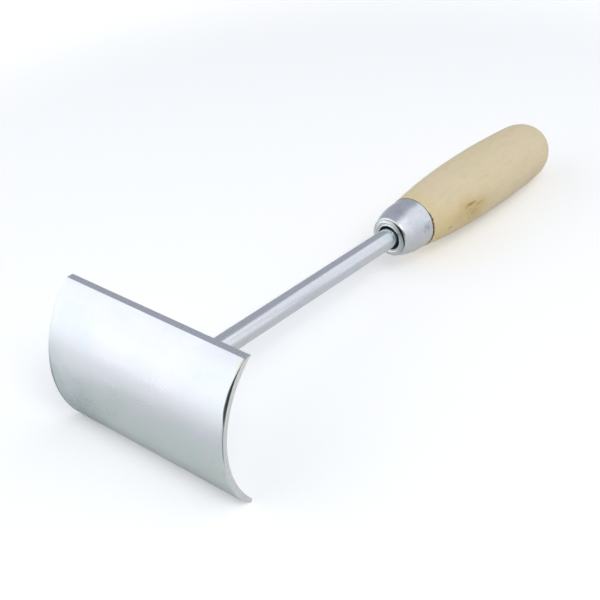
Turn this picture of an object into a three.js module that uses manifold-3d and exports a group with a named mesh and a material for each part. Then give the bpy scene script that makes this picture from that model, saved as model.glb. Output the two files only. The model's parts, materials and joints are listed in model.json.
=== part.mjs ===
// One-hand draw hoe: a curved plate blade butt-welded to a round bar, whose tang is driven
// into a turned wooden grip, with a drawn steel ferrule and a ring in the ferrule's mouth.
//
// Millimetres. The tool frame has the bar's axis on X, from the blade's front to the grip,
// Y across the blade and Z up. The exported group lies at rest on the floor z = 0, on the
// blade's cutting edge and the grip, with its origin below the middle of its box.
import * as THREE from "three";
import { mergeVertices } from "three/addons/utils/BufferGeometryUtils.js";
import Module from "manifold-3d";

// ---- Driving dimensions -------------------------------------------------------------

// Gap that keeps touching pieces apart as separate solids.
const SEAT_GAP = 0.3;

// Blade: a strip of tube wall, its hollow side towards the grip.
const BLADE_WIDTH = 100;
const BLADE_RADIUS = 50; // outer face
const BLADE_THICKNESS = 3;
const BLADE_ABOVE_BAR = 34.8; // level top edge
const BLADE_BELOW_BAR = 33.3; // cutting edge
const CURVE_DROP = 0.8; // centre of the curve below the bar's axis
const TOP_ROLL = 1.6; // rounding of the top edge's front corner
const BEVEL_HEIGHT = 4.8; // thinned on the front face, up from the cutting edge
const LAND_HEIGHT = 1.4; // blunt flat left at the cutting edge
const LAND_LEAN = 0.55; // its lower corner in front of its upper one

// Bar and its tang.
const BAR_RADIUS = 5;
const BLADE_TO_MOUTH = 173.7; // blade's front to the ferrule's mouth
const TANG_LENGTH = 76; // part of the bar behind the ferrule's mouth
const TANG_CHAMFER = 1.5;

// Fillet weld round the bar's end.
const WELD_LEG = 4;
const WELD_TOE = 0.5; // thickness left where it thins out

// Ring in the ferrule's mouth.
const RING_PLAY = 1.1; // round the bar
const RING_WIDTH = 2.9;
const RING_THICKNESS = 3;
const RING_PROUD = 0.7; // in front of the ferrule's mouth
const RING_ROUND = 0.7; // rounded front edges
const RING_GROOVE = 0.35; // depth of the shallow groove in its front face

// Ferrule: a cone that turns into a nearly straight skirt.
const FERRULE_CONE = 11.3;
const FERRULE_SKIRT = 7.3;
const FERRULE_WALL = 1;
const MOUTH_RIM = 0.7; // radial width of the rim round the ring
const MOUTH_ROUND = 0.5;
const CONE_END_RADIUS = 12.66;
const SKIRT_END_RADIUS = 12.95;

// Grip.
const SHOULDER_STEP = 0.2; // wood proud of the ferrule
const SHOULDER_TO_BELLY = 61;
const BELLY_RADIUS = 17.05;
const BELLY_TO_HEEL = 39;
const HEEL_RADIUS = 15.7;
const BUTT_LENGTH = 18.5; // domed end
const BORE_SPARE = 2; // bore deeper than the tang
const DRILL_POINT = 3.2; // cone at the bottom of the bore

// Handles of the free curves: how far along X, and out or up, a curve leaves or meets its
// end in a straight line.
const BEVEL_LEAVES = [1.34, -2];
const BEVEL_MEETS = [1.92, -0.82];
const CONE_LEAVES = [4, 1.45];
const CONE_MEETS = [3.5, 0.28];
const SHOULDER_LEAVES = [20, 2.7];
const BELLY_MEETS = [25, 0];
const BELLY_LEAVES = [14, 0];
const HEEL_MEETS = [12, -0.7];
const HEEL_LEAVES = [10, -0.6];
const QUARTER_ROUND = 0.55; // handle of a quarter round, as a share of its radius

// Facets.
const ROUND_SEGMENTS = 56;
const BAR_SEGMENTS = 36;
const BLADE_SEGMENTS = 36;

// ---- Places worked out from them ----------------------------------------------------

const bladeInner = BLADE_RADIUS - BLADE_THICKNESS;
const ringBore = BAR_RADIUS + RING_PLAY;
const ringRadius = ringBore + RING_WIDTH;
const mouthBore = ringRadius + SEAT_GAP;
const mouthRadius = mouthBore + MOUTH_RIM;

const mouthX = BLADE_TO_MOUTH;
const coneEndX = mouthX + FERRULE_CONE;
const skirtEndX = coneEndX + FERRULE_SKIRT;
const ringFrontX = mouthX - RING_PROUD;
const ringBackX = ringFrontX + RING_THICKNESS;
const neckFrontX = ringBackX + SEAT_GAP;
const shoulderX = skirtEndX + SEAT_GAP;
const tangEndX = mouthX + TANG_LENGTH;

// ---- Helpers --------------------------------------------------------------------------

const wasm = await Module();
wasm.setup();

const at = (x, y) => new THREE.Vector2(x, y);

// A Bezier run from start to end, leaving and arriving along the two given handles.
function curve(start, startHandle, endHandle, end, steps) {
  return new THREE.CubicBezierCurve(
    start,
    start.clone().add(startHandle),
    end.clone().sub(endHandle),
    end,
  ).getPoints(steps);
}

// A solid turned about the X axis from outline points (distance along X, radius).
function turned(outline, segments) {
  const profile = outline.map((p) => at(p.y, p.x));
  return new THREE.LatheGeometry(profile, segments).rotateZ(-Math.PI / 2);
}

function solidFrom(geometry) {
  const bare = geometry.clone();
  bare.deleteAttribute("normal");
  bare.deleteAttribute("uv");
  const merged = mergeVertices(bare, 1e-4);
  return new wasm.Manifold(
    new wasm.Mesh({
      numProp: 3,
      vertProperties: new Float32Array(merged.attributes.position.array),
      triVerts: new Uint32Array(merged.index.array),
    }),
  );
}

function geometryFrom(solid) {
  const mesh = solid.getMesh();
  const geometry = new THREE.BufferGeometry();
  geometry.setAttribute(
    "position",
    new THREE.BufferAttribute(new Float32Array(mesh.vertProperties), 3),
  );
  geometry.setIndex(new THREE.BufferAttribute(new Uint32Array(mesh.triVerts), 1));
  geometry.computeVertexNormals();
  return geometry;
}

// Distance along X of the blade's curve, at a height, for a face of the given radius.
function bladeFaceX(radius, height) {
  return BLADE_RADIUS - Math.sqrt(radius ** 2 - (height + CURVE_DROP) ** 2);
}

// First X at which a disc about the bar's axis clears the blade's hollow face.
function seatX(discRadius) {
  const above = bladeFaceX(bladeInner, discRadius);
  const below = bladeFaceX(bladeInner, -discRadius);
  return Math.max(above, below) + SEAT_GAP;
}

// ---- Blade ------------------------------------------------------------------------------

const edgeZ = -BLADE_BELOW_BAR;
const landTopZ = edgeZ + LAND_HEIGHT;
const edgeX = bladeFaceX(bladeInner, landTopZ) - LAND_LEAN;

// Points along the blade's curve between two heights, on a face of the given radius.
function bladeArc(radius, fromHeight, toHeight) {
  const rise = (height) => Math.asin((height + CURVE_DROP) / radius);
  const points = [];
  for (let i = 0; i <= BLADE_SEGMENTS; i++) {
    const share = i / BLADE_SEGMENTS;
    const angle = rise(fromHeight) * (1 - share) + rise(toHeight) * share;
    points.push(
      at(
        BLADE_RADIUS - radius * Math.cos(angle),
        radius * Math.sin(angle) - CURVE_DROP,
      ),
    );
  }
  return points;
}

function bladeGeometry() {
  const rollZ = BLADE_ABOVE_BAR - TOP_ROLL * Math.SQRT1_2;
  const bevelZ = edgeZ + BEVEL_HEIGHT;
  const front = bladeArc(BLADE_RADIUS, rollZ, bevelZ);
  const cornerX = bladeFaceX(BLADE_RADIUS, BLADE_ABOVE_BAR);
  const roll = curve(
    at(cornerX + TOP_ROLL, BLADE_ABOVE_BAR),
    at(-TOP_ROLL * QUARTER_ROUND, 0),
    at(-TOP_ROLL * QUARTER_ROUND * Math.SQRT1_2, -TOP_ROLL * QUARTER_ROUND * Math.SQRT1_2),
    front[0],
    4,
  );
  const bevel = curve(
    front.at(-1),
    at(...BEVEL_LEAVES),
    at(...BEVEL_MEETS),
    at(edgeX, edgeZ),
    6,
  );
  const back = bladeArc(bladeInner, landTopZ, BLADE_ABOVE_BAR);
  const outline = new THREE.Shape([
    ...roll,
    ...front.slice(1),
    ...bevel.slice(1),
    ...back,
  ]);
  return new THREE.ExtrudeGeometry(outline, {
    depth: BLADE_WIDTH,
    bevelEnabled: false,
  })
    .rotateX(Math.PI / 2)
    .translate(0, BLADE_WIDTH / 2, 0);
}

// ---- Bar and weld ---------------------------------------------------------------------

function barGeometry() {
  const frontX = seatX(BAR_RADIUS);
  return turned(
    [
      at(frontX, 0),
      at(frontX, BAR_RADIUS),
      at(tangEndX - TANG_CHAMFER, BAR_RADIUS),
      at(tangEndX, BAR_RADIUS - TANG_CHAMFER),
      at(tangEndX, 0),
    ],
    BAR_SEGMENTS,
  );
}

// The weld follows the blade's hollow face: its ring is cut back to a cylinder that
// clears that face.
function weldGeometry() {
  const inner = BAR_RADIUS + SEAT_GAP;
  const outer = inner + WELD_LEG;
  const backX = seatX(inner) + WELD_LEG;
  const ring = turned(
    [
      at(0, inner),
      at(0, outer),
      ...curve(
        at(seatX(outer) + WELD_TOE, outer),
        at(0, -WELD_LEG / 3),
        at(WELD_LEG / 3, -WELD_TOE / 2),
        at(backX, inner + WELD_TOE),
        5,
      ),
      at(backX, inner),
      at(0, inner),
    ],
    BAR_SEGMENTS,
  );
  const hollow = new THREE.CylinderGeometry(
    bladeInner - SEAT_GAP,
    bladeInner - SEAT_GAP,
    BLADE_WIDTH,
    4 * BLADE_SEGMENTS,
  ).translate(BLADE_RADIUS, 0, -CURVE_DROP);
  return geometryFrom(solidFrom(ring).intersect(solidFrom(hollow)));
}

// ---- Ring and ferrule ---------------------------------------------------------------

function ringGeometry() {
  const middle = (ringBore + ringRadius) / 2;
  const crestX = ringFrontX + RING_ROUND;
  const bend = RING_ROUND * QUARTER_ROUND;
  return turned(
    [
      at(ringBackX, ringBore),
      ...curve(
        at(crestX, ringBore),
        at(-bend, 0),
        at(0, bend),
        at(ringFrontX, ringBore + RING_ROUND),
        4,
      ),
      at(ringFrontX + RING_GROOVE, middle),
      ...curve(
        at(ringFrontX, ringRadius - RING_ROUND),
        at(0, bend),
        at(bend, 0),
        at(crestX, ringRadius),
        4,
      ),
      at(ringBackX, ringRadius),
      at(ringBackX, ringBore),
    ],
    ROUND_SEGMENTS,
  );
}

// Outer line of the ferrule from behind its rounded rim to the end of its skirt.
const ferruleOuter = [
  ...curve(
    at(mouthX + MOUTH_ROUND, mouthRadius),
    at(...CONE_LEAVES),
    at(...CONE_MEETS),
    at(coneEndX, CONE_END_RADIUS),
    8,
  ),
  at(skirtEndX, SKIRT_END_RADIUS),
];

// The same line moved in by a depth, for as long as it stays outside a bore.
function ferruleInside(depth, bore) {
  return ferruleOuter
    .map((p) => at(p.x, p.y - depth))
    .filter((p) => p.y > bore);
}

function ferruleGeometry() {
  const rimX = mouthX + MOUTH_ROUND;
  const bend = MOUTH_ROUND * QUARTER_ROUND;
  const inside = ferruleInside(FERRULE_WALL, mouthBore);
  return turned(
    [
      at(mouthX, mouthBore),
      ...curve(
        at(mouthX, mouthRadius - MOUTH_ROUND),
        at(0, bend),
        at(bend, 0),
        at(rimX, mouthRadius),
        3,
      ),
      ...ferruleOuter.slice(1),
      ...inside.reverse(),
      at(inside.at(-1).x, mouthBore),
      at(mouthX, mouthBore),
    ],
    ROUND_SEGMENTS,
  );
}

// ---- Grip -------------------------------------------------------------------------------

const shoulderRadius = SKIRT_END_RADIUS + SHOULDER_STEP;
const bellyX = shoulderX + SHOULDER_TO_BELLY;
const heelX = bellyX + BELLY_TO_HEEL;
const buttX = heelX + BUTT_LENGTH;

// Outer line of the wood from its shoulder to the pole of its butt.
const gripOuter = [
  ...curve(
    at(shoulderX, shoulderRadius),
    at(...SHOULDER_LEAVES),
    at(...BELLY_MEETS),
    at(bellyX, BELLY_RADIUS),
    12,
  ),
  ...curve(
    at(bellyX, BELLY_RADIUS),
    at(...BELLY_LEAVES),
    at(...HEEL_MEETS),
    at(heelX, HEEL_RADIUS),
    6,
  ).slice(1),
  ...curve(
    at(heelX, HEEL_RADIUS),
    at(...HEEL_LEAVES),
    at(0, -HEEL_RADIUS * QUARTER_ROUND),
    at(buttX, 0),
    10,
  ).slice(1),
];

function gripGeometry() {
  const boreRadius = BAR_RADIUS + SEAT_GAP;
  const boreEndX = tangEndX + BORE_SPARE;
  const neck = ferruleInside(FERRULE_WALL + SEAT_GAP, boreRadius).filter(
    (p) => p.x > neckFrontX,
  );
  return turned(
    [
      at(boreEndX + DRILL_POINT, 0),
      at(boreEndX, boreRadius),
      at(neckFrontX, boreRadius),
      at(neckFrontX, neck[0].y - SEAT_GAP),
      ...neck,
      at(shoulderX, neck.at(-1).y),
      ...gripOuter,
    ],
    ROUND_SEGMENTS,
  );
}

// ---- Assembly ---------------------------------------------------------------------------

const zincPlate = { color: 0xc9ced6, roughness: 0.3, metalness: 0.9 };
const zincBar = { color: 0xb9bec8, roughness: 0.32, metalness: 0.9 };
const weldMetal = { color: 0xa7abb2, roughness: 0.5, metalness: 0.85 };
const drawnZinc = { color: 0xc0c6cf, roughness: 0.26, metalness: 0.9 };
const blondWood = { color: 0xdccba4, roughness: 0.55, metalness: 0 };

const tool = new THREE.Group();
function addPiece(name, geometry, finish) {
  const mesh = new THREE.Mesh(geometry, new THREE.MeshStandardMaterial(finish));
  mesh.name = name;
  tool.add(mesh);
}
addPiece("blade", bladeGeometry(), zincPlate);
addPiece("bar", barGeometry(), zincBar);
addPiece("weld_bead", weldGeometry(), weldMetal);
addPiece("mouth_ring", ringGeometry(), drawnZinc);
addPiece("ferrule", ferruleGeometry(), drawnZinc);
addPiece("grip", gripGeometry(), blondWood);

// At rest the grip meets the floor where a line from the cutting edge is tangent to it.
const restTilt = Math.min(
  ...gripOuter.map((p) => Math.atan2(BLADE_BELOW_BAR - p.y, p.x - edgeX)),
);
tool.rotation.y = restTilt;
tool.updateMatrixWorld(true);
const box = new THREE.Box3().setFromObject(tool, true);
tool.position.set(-(box.min.x + box.max.x) / 2, 0, -box.min.z);

const drawHoe = new THREE.Group();
drawHoe.add(tool);

export default drawHoe;
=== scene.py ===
import json
import math
import random

import bmesh
import bpy
from bpy.props import (
    FloatProperty,
    FloatVectorProperty,
    IntProperty,
    PointerProperty,
)
from mathutils import Matrix, Vector


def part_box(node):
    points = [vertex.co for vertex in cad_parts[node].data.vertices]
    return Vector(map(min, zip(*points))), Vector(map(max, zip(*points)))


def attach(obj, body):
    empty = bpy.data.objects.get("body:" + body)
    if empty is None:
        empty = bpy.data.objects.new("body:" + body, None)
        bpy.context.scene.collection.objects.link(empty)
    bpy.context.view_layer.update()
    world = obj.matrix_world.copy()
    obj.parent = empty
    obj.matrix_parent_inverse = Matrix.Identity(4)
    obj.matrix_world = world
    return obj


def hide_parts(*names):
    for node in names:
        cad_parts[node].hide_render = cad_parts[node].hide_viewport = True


bl_info = {
    "name": "Hand draw hoe",
    "version": (1, 0, 0),
    "blender": (4, 5, 0),
    "location": "3D View > Sidebar > Draw hoe",
    "description": "A zinc-plated one-hand draw hoe with a turned wooden grip",
    "category": "Object",
}

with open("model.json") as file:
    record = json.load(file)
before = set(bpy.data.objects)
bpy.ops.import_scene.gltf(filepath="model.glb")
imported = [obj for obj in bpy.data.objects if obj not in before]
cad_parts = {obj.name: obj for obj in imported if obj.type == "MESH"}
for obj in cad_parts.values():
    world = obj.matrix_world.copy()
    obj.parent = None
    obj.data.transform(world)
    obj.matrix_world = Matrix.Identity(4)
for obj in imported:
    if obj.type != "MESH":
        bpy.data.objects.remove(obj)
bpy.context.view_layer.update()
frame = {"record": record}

MM = 0.001
FULL_TURN = 2 * math.pi
SEAM = 1e-7  # closer than this, two points are one
NEAR = 10 * SEAM  # points this close to a place lie on it
ARC = 0.55  # handle length of a quarter round, as a share of its radius


# ---- Where the tool lies --------------------------------------------------------------
# The pieces are modelled in the tool's own axes: X along the bar from the blade's front,
# Y across the blade, Z up. The blade's mounts say how those axes lie in the frame.

MOUNTS = {mount["name"]: mount for mount in frame["record"]["mounts"]}


def node_width(node):
    low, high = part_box(node)
    return high.y - low.y


BLADE_WIDTH = node_width("blade")
BLADE_THICKNESS = 3 * MM

top_axis = MOUNTS["blade_top_edge"]["axis"]
TOOL_TILT = math.atan2(top_axis[0], top_axis[2])
TOOL_TURN = Matrix.Rotation(TOOL_TILT, 3, "Y")
end_middle = Vector((BLADE_THICKNESS / 2, -BLADE_WIDTH / 2, 0))
TOOL_PLACE = Vector(MOUNTS["blade_end_right"]["pos_m"]) - TOOL_TURN @ end_middle


# ---- Settings -------------------------------------------------------------------------


def setting(kind, name, description, default, **limits):
    return kind(name=name, description=description, default=default, **limits)


def length(*about):
    return setting(FloatProperty, *about, min=0.0, precision=5, unit="LENGTH")


def count(*about):
    return setting(IntProperty, *about, min=3)


def colour(*about):
    return setting(FloatVectorProperty, *about, min=0.0, max=1.0, subtype="COLOR")


def share(*about):
    return setting(FloatProperty, *about, min=0.0, max=1.0, subtype="FACTOR")


def brightness(*about):
    return setting(FloatProperty, *about, min=0.0)


class BladeSettings(bpy.types.PropertyGroup):
    """Sizes of the blade"""

    width: length("Width", "Across the blade", BLADE_WIDTH)
    thickness: length("Thickness", "Of the plate", BLADE_THICKNESS)
    radius: length("Curve radius", "Of the front face", 50 * MM)
    above: length("Above the bar", "Level top edge over the bar's axis", 34.76 * MM)
    below: length("Below the bar", "Cutting edge under the bar's axis", 33.3 * MM)
    drop: length("Curve drop", "Middle of the curve under the bar's axis", 0.8 * MM)
    top_flat: length("Top flat", "Front of the flat top behind the curve's", 1.12 * MM)
    top_thin: length("Top thinning", "Height of the thinned face under it", 5.6 * MM)
    bevel: length("Bevel height", "Thinned front face over the cutting edge", 4.8 * MM)
    land: length("Land height", "Blunt flat at the cutting edge", 1.4 * MM)
    land_lean: length("Land lean", "Lower corner in front of the upper one", 0.55 * MM)
    end_roll: length("End roll", "Rounding of the front corners at both ends", 1.0 * MM)
    crisp: length("Crisp edge", "Rounding of the other edges", 0.12 * MM)
    steps: count("Steps", "Along the curve", 98)


class BarSettings(bpy.types.PropertyGroup):
    """Sizes of the bar and its weld"""

    radius: length("Radius", "Of the round bar", node_width("bar") / 2)
    front: length("Front end", "Behind the blade's front", 3.66 * MM)
    back: length("Tang end", "Behind the blade's front", 249.7 * MM)
    chamfer: length("Chamfer", "At the tang's end", 1.5 * MM)
    weld_leg: length("Weld leg", "Of the fillet round the bar's end", 4.1 * MM)
    weld_toe: length("Weld toe", "Thickness where it thins out", 0.35 * MM)
    ripple: length("Ripple height", "Of the weld's ripples", 0.13 * MM)
    ripples: count("Ripples", "Round the weld", 34)


class RingSettings(bpy.types.PropertyGroup):
    """Sizes of the ring in the ferrule's mouth"""

    front: length("Front", "Behind the blade's front", 173.0 * MM)
    thickness: length("Thickness", "Along the bar", 3.0 * MM)
    bore: length("Bore radius", "Round the bar", 6.15 * MM)
    radius: length("Radius", "Outside", node_width("mouth_ring") / 2 + 0.18 * MM)
    round: length("Rounding", "Of the bore's front edge", 0.45 * MM)
    groove: length("Groove", "Depth of the groove in the front face", 0.3 * MM)
    off_centre: length("Off centre", "How low it sits in the mouth", 0.16 * MM)


class FerruleSettings(bpy.types.PropertyGroup):
    """Sizes of the ferrule"""

    mouth: length("Mouth", "Behind the blade's front", 173.7 * MM)
    bore: length("Mouth bore radius", "Round the ring", 9.3 * MM)
    rim: length("Rim radius", "Outside, at the mouth", 10.0 * MM)
    rim_round: length("Rim rounding", "Of the mouth", 0.66 * MM)
    cone: length("Cone", "Length of the cone", 11.3 * MM)
    cone_radius: length("Cone radius", "At the cone's end", 12.66 * MM)
    skirt: length("Skirt", "Length of the skirt", 7.3 * MM)
    skirt_radius: length("Skirt radius", "At the skirt's end", node_width("ferrule") / 2)
    wall: length("Wall", "Thickness of the sheet", 1.0 * MM)


class GripSettings(bpy.types.PropertyGroup):
    """Sizes of the wooden grip"""

    shoulder: length("Shoulder", "Behind the blade's front", 192.42 * MM)
    shoulder_radius: length("Shoulder radius", "Next to the ferrule", 13.15 * MM)
    belly: length("Belly", "Shoulder to the thickest place", 61.18 * MM)
    belly_radius: length("Belly radius", "At the thickest place", node_width("grip") / 2)
    heel: length("Heel", "Belly to the start of the dome", 39.0 * MM)
    heel_radius: length("Heel radius", "Where the dome starts", 15.7 * MM)
    butt: length("Butt", "Length of the domed end", 18.47 * MM)
    neck_front: length("Neck front", "Of the wood inside the ferrule", 176.3 * MM)
    bore: length("Bore radius", "Round the tang", 5.3 * MM)
    bore_end: length("Bore end", "Behind the blade's front", 251.7 * MM)
    drill_point: length("Drill point", "Cone at the bottom of the bore", 3.2 * MM)
    sides: count("Sides", "Round the grip", 128)


class FinishSettings(bpy.types.PropertyGroup):
    """Colours and finish"""

    zinc: colour("Zinc", "Bright plating", (0.885, 0.893, 0.945))
    zinc_dull: colour("Dull zinc", "Plating in hollows and on lines", (0.62, 0.65, 0.68))
    zinc_cut: colour("Cut zinc", "Plating on the sheared ends", (0.90, 0.89, 0.86))
    film_green: colour("Green film", "Thin film on the plating", (0.75, 0.865, 0.80))
    film_rose: colour("Rose film", "Thin film on the plating", (0.90, 0.85, 0.93))
    film_blue: colour("Blue film", "Thicker film in places", (0.70, 0.81, 0.93))
    film_straw: colour("Straw film", "Thin film at the corners", (0.90, 0.87, 0.70))
    wood: colour("Wood", "Pale sapwood", (0.82, 0.70, 0.46))
    wood_late: colour("Late wood", "Darker part of each growth ring", (0.73, 0.59, 0.35))
    wood_warm: colour("Warm wood", "Pinker part of the sapwood", (0.83, 0.685, 0.48))
    wood_yellow: colour("Yellow wood", "Sapwood by the ferrule", (0.80, 0.63, 0.32))
    wood_stain: colour("Stain", "Round the small knot", (0.66, 0.475, 0.18))
    wood_knot: colour("Knot", "Darkest lines of the knot", (0.33, 0.21, 0.08))
    blade_roughness: share("Blade roughness", "Of the plated sheet", 0.3)
    bar_roughness: share("Bar roughness", "Of the plated bar", 0.2)
    ferrule_roughness: share("Ferrule roughness", "Of the drawn ferrule", 0.3)
    wood_roughness: share("Wood roughness", "Of the sanded wood", 0.5)


class StageSettings(bpy.types.PropertyGroup):
    """Floor, lights and camera"""

    floor: colour("Floor", "Pale floor", (0.93, 0.93, 0.93))
    floor_gloss: share("Floor in reflections", "Share of the floor's paleness", 0.75)
    floor_glow: share("Floor glow", "Light seen through the floor's sheet", 0.22)
    far_glow: share("Far glow", "The same, away from the tool", 0.6)
    room: colour("Room", "Dim far side of the room", (0.375, 0.4, 0.445))
    left_light: brightness("Left light", "Tall panel that leans back", 0.76)
    card_light: brightness("Card", "White card on the floor under the left panel", 0.17)
    right_light: brightness("Right light", "Wide panel behind the grip's side", 0.43)
    side_light: brightness("Side light", "Panel beside the camera", 0.6)
    top_light: brightness("Top light", "Panel overhead", 0.5)
    key_light: brightness("Key light", "Small bright panel over the camera", 5.2)
    camera_place: setting(
        FloatVectorProperty,
        "Camera place",
        "Where the camera stands",
        (-0.3984, -0.3211, 0.3489),
        subtype="TRANSLATION",
        unit="LENGTH",
    )
    camera_turn: setting(
        FloatVectorProperty,
        "Camera turn",
        "How the camera is turned",
        (0.96955, 0.07308, -0.87623),
        subtype="EULER",
        unit="ROTATION",
    )
    lens: setting(FloatProperty, "Lens", "Focal length in mm", 75.74, min=1.0)


class DrawHoeSettings(bpy.types.PropertyGroup):
    """All settings of the draw hoe"""

    blade: PointerProperty(type=BladeSettings)
    bar: PointerProperty(type=BarSettings)
    ring: PointerProperty(type=RingSettings)
    ferrule: PointerProperty(type=FerruleSettings)
    grip: PointerProperty(type=GripSettings)
    finish: PointerProperty(type=FinishSettings)
    stage: PointerProperty(type=StageSettings)


# ---- Modelling by hand ----------------------------------------------------------------


def clear_selection():
    if bpy.context.object and bpy.context.object.mode != "OBJECT":
        bpy.ops.object.mode_set(mode="OBJECT")
    bpy.ops.object.select_all(action="DESELECT")


def select_whole():
    bpy.ops.mesh.select_all(action="SELECT")


def edit():
    bpy.ops.object.mode_set(mode="EDIT")
    select_whole()


def settle():
    """Leaves the piece in hand at the origin, unturned and unscaled."""
    bpy.ops.object.transform_apply(location=True, rotation=True, scale=True)


def pick(kind, test, needed=True):
    """Selects the points, edges or faces that pass a test, and nothing else."""
    bpy.ops.mesh.select_mode(type=kind)
    bpy.ops.mesh.select_all(action="DESELECT")
    mesh = bpy.context.edit_object.data
    shape = bmesh.from_edit_mesh(mesh)
    parts = {"VERT": shape.verts, "EDGE": shape.edges, "FACE": shape.faces}[kind]
    found = 0
    for part in parts:
        if test(part):
            part.select_set(True)
            found += 1
    shape.select_flush_mode()
    bmesh.update_edit_mesh(mesh)
    if needed and not found:
        raise RuntimeError("nothing there to select")


def close_up():
    """Merges what met, and turns all faces outwards."""
    bpy.ops.mesh.select_mode(type="VERT")
    select_whole()
    bpy.ops.mesh.remove_doubles(threshold=SEAM)
    bpy.ops.mesh.normals_make_consistent(inside=False)


def run(start, *legs):
    """Points along Bezier legs, each a start handle, an end handle, an end and steps."""
    points = [Vector(start)]
    for start_handle, end_handle, end, steps in legs:
        start, end = points[-1], Vector(end)
        near, far = start + Vector(start_handle), end - Vector(end_handle)
        for step in range(1, steps + 1):
            t = step / steps
            s = 1 - t
            points.append(
                s**3 * start + 3 * s * s * t * near + 3 * s * t * t * far + t**3 * end
            )
    return points


def draw_line(points):
    """Draws a chain of edges through points (along X, out along Z), point by point."""
    first = points[0]
    bpy.ops.mesh.primitive_plane_add(size=MM, location=(first[0], 0, first[1]))
    settle()
    edit()
    bpy.ops.mesh.merge(type="CENTER")
    here = first
    for there in points[1:]:
        move = (there[0] - here[0], 0, there[1] - here[1])
        bpy.ops.mesh.extrude_region_move(TRANSFORM_OT_translate={"value": move})
        here = there


def turn_on_lathe(points, sides):
    """Turns an outline about the bar's axis into a closed solid, left in edit mode."""
    clear_selection()
    draw_line(points)
    select_whole()
    bpy.ops.mesh.spin(
        steps=sides, angle=FULL_TURN, center=(0, 0, 0), axis=(1, 0, 0)
    )
    close_up()


def shave(places):
    """Files flats on a solid; each is a point of its side view and a direction."""
    for point, along in places:
        along = Vector(along).normalized()
        select_whole()
        bpy.ops.mesh.bisect(
            plane_co=(point[0], 0, point[1]),
            plane_no=(along[1], 0, -along[0]),
            use_fill=True,
            clear_outer=True,
            threshold=SEAM,
        )


def flats(points):
    """Flats that touch a rounded run of points, one for every second point."""
    trios = zip(points[:-2:2], points[1:-1:2], points[2::2])
    return [(middle, after - before) for before, middle, after in trios]


def modify(kind, **settings):
    """Adds a modifier to the piece in hand and applies it."""
    bpy.ops.object.modifier_add(type=kind)
    modifier = bpy.context.object.modifiers[-1]
    for name, value in settings.items():
        setattr(modifier, name, value)
    bpy.ops.object.modifier_apply(modifier=modifier.name)


def finish_piece(name, material, node, smooth=30):
    """Lays the piece in hand where the tool lies and ties it to the frame."""
    bpy.ops.object.mode_set(mode="OBJECT")
    piece = bpy.context.object
    piece.name = name
    piece.data.name = name
    piece.rotation_euler = (0, TOOL_TILT, 0)
    piece.location = TOOL_PLACE
    settle()
    bpy.ops.object.shade_smooth_by_angle(angle=math.radians(smooth))
    if not piece.data.materials:
        piece.data.materials.append(material)
    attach(piece, "root")
    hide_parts(node)
    return piece


# ---- Shader building ------------------------------------------------------------------


def fill(node, inputs):
    """Links wires to a node's inputs and sets the others; colours need no alpha."""
    for name, value in inputs.items():
        socket = node.inputs[name]
        if isinstance(value, Wire):
            node.id_data.links.new(value.socket, socket)
        else:
            socket.default_value = (*value[:3], 1.0) if socket.type == "RGBA" else value


def put(tree, kind, inputs=None, **settings):
    """Adds a node, sets it up, and fills or links its inputs."""
    node = tree.nodes.new(kind)
    node.location = (180 * (len(tree.nodes) % 8), -220 * (len(tree.nodes) // 8))
    for name, value in settings.items():
        setattr(node, name, value)
    fill(node, inputs or {})
    return node


class Wire:
    """A number, colour or vector on its way through a node tree; sums add nodes."""

    def __init__(self, node, output=0):
        self.tree = node.id_data
        self.socket = node.outputs[output]

    def to(self, kind, inputs, output=0, **settings):
        """Adds a node to the tree and goes on from one of its outputs."""
        return Wire(put(self.tree, kind, inputs, **settings), output)

    def reckon(self, operation, other=0.0):
        return self.to("ShaderNodeMath", {0: self, 1: other}, operation=operation)

    def __add__(self, other):
        return self.reckon("ADD", other)

    def __sub__(self, other):
        return self.reckon("SUBTRACT", other)

    def __mul__(self, other):
        return self.reckon("MULTIPLY", other)

    def band(self, low, high, out_low=0.0, out_high=1.0):
        """Spreads it from two limits over an output range, eased at both ends."""
        inputs = {"Value": self, "From Min": low, "From Max": high}
        inputs |= {"To Min": out_low, "To Max": out_high}
        return self.to("ShaderNodeMapRange", inputs, interpolation_type="SMOOTHSTEP")

    def noise(self, scale, detail=3.0, roughness=0.5, distortion=0.0):
        inputs = {"Vector": self, "Scale": scale, "Detail": detail}
        inputs |= {"Roughness": roughness, "Distortion": distortion}
        return self.to("ShaderNodeTexNoise", inputs)

    def stretch(self, scale, rotation=(0, 0, 0), location=(0, 0, 0)):
        inputs = {"Vector": self, "Location": location, "Rotation": rotation}
        return self.to("ShaderNodeMapping", inputs | {"Scale": scale})

    def cells(self, scale=1.0):
        """How far the nearest of many scattered points is, and a colour of its own."""
        inputs = {"Vector": self, "Scale": scale, "Randomness": 1.0}
        node = put(self.tree, "ShaderNodeTexVoronoi", inputs)
        return Wire(node, "Distance"), Wire(node, "Color")

    def arrow(self, operation, other, output=0):
        inputs = {0: self, 1: other}
        return self.to("ShaderNodeVectorMath", inputs, output, operation=operation)

    def size(self):
        return self.to("ShaderNodeVectorMath", {0: self}, "Value", operation="LENGTH")

    def from_place(self, centre, reach, wander):
        """How far out it is from a place on the tool, in mm: 0 there, 1 at its reach."""
        away = self.arrow("SUBTRACT", centre)
        return away.arrow("MULTIPLY", [1 / part for part in reach]).size() + wander

    def parts(self):
        node = put(self.tree, "ShaderNodeSeparateXYZ", {"Vector": self})
        return [Wire(node, axis) for axis in range(3)]


def mix(amount, first, second):
    """The first colour with some of the second in it."""
    inputs = {0: amount, 6: first, 7: second}
    return amount.to("ShaderNodeMix", inputs, 2, data_type="RGBA")


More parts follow.
